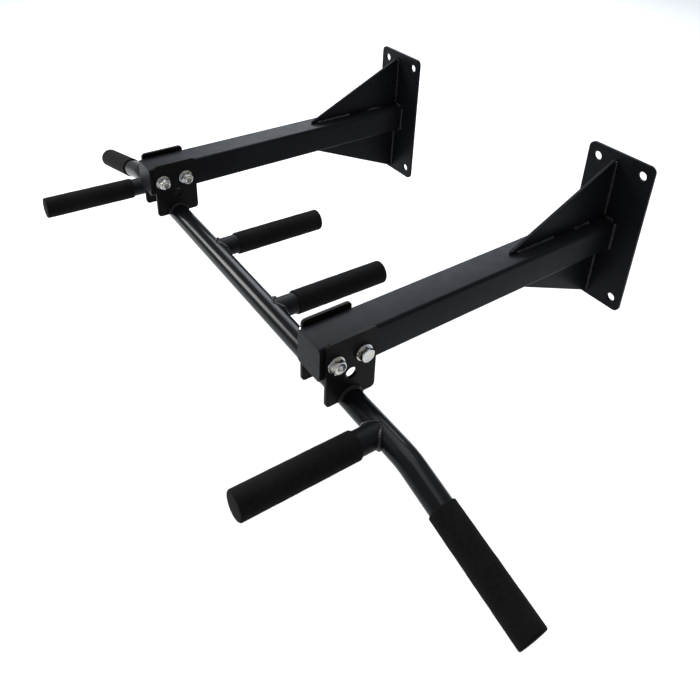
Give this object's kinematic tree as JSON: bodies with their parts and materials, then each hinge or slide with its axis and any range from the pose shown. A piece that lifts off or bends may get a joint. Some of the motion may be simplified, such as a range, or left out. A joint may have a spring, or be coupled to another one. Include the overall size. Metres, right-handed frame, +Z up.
{
  "type": "pull up bar",
  "caption": "Wall-mounted pull-up bar: a bent round bar with foam grips, clamped under two gusseted square arms on wall plates.",
  "frame": {"origin": "on the wall, in the middle of the two brackets' eight wall bolt holes", "axes": "+X along the bar, +Y into the wall, +Z up"},
  "size_m": [1.2344, 0.7014, 0.2753],
  "materials": {
    "bracket_paint": "satin black powder coat",
    "clamp_paint": "satin black powder coat",
    "bar_paint": "gloss black powder coat",
    "fastener_zinc": "bright zinc plating",
    "grip_foam": "matt closed-cell foam rubber"
  },
  "bodies": {
    "root": {"left_wall_plate": "bracket_paint", "right_wall_plate": "bracket_paint", "left_arm_tube": "bracket_paint", "right_arm_tube": "bracket_paint", "left_upper_gusset": "bracket_paint", "right_upper_gusset": "bracket_paint", "left_lower_gusset": "bracket_paint", "right_lower_gusset": "bracket_paint", "left_arm_end_cap": "bracket_paint", "right_arm_end_cap": "bracket_paint", "left_outer_clamp_plate": "clamp_paint", "right_outer_clamp_plate": "clamp_paint", "left_inner_clamp_plate": "clamp_paint", "right_inner_clamp_plate": "clamp_paint", "left_clamp_bolts": "fastener_zinc", "right_clamp_bolts": "fastener_zinc", "left_clamp_washers": "fastener_zinc", "right_clamp_washers": "fastener_zinc", "left_clamp_nuts": "fastener_zinc", "right_clamp_nuts": "fastener_zinc", "main_bar": "bar_paint", "left_outer_grip_tube": "bar_paint", "right_outer_grip_tube": "bar_paint", "left_inner_grip_tube": "bar_paint", "right_inner_grip_tube": "bar_paint", "left_outer_grip_sleeve": "grip_foam", "right_outer_grip_sleeve": "grip_foam", "left_inner_grip_sleeve": "grip_foam", "right_inner_grip_sleeve": "grip_foam", "left_end_grip_sleeve": "grip_foam", "right_end_grip_sleeve": "grip_foam"}
  },
  "joints": []
}
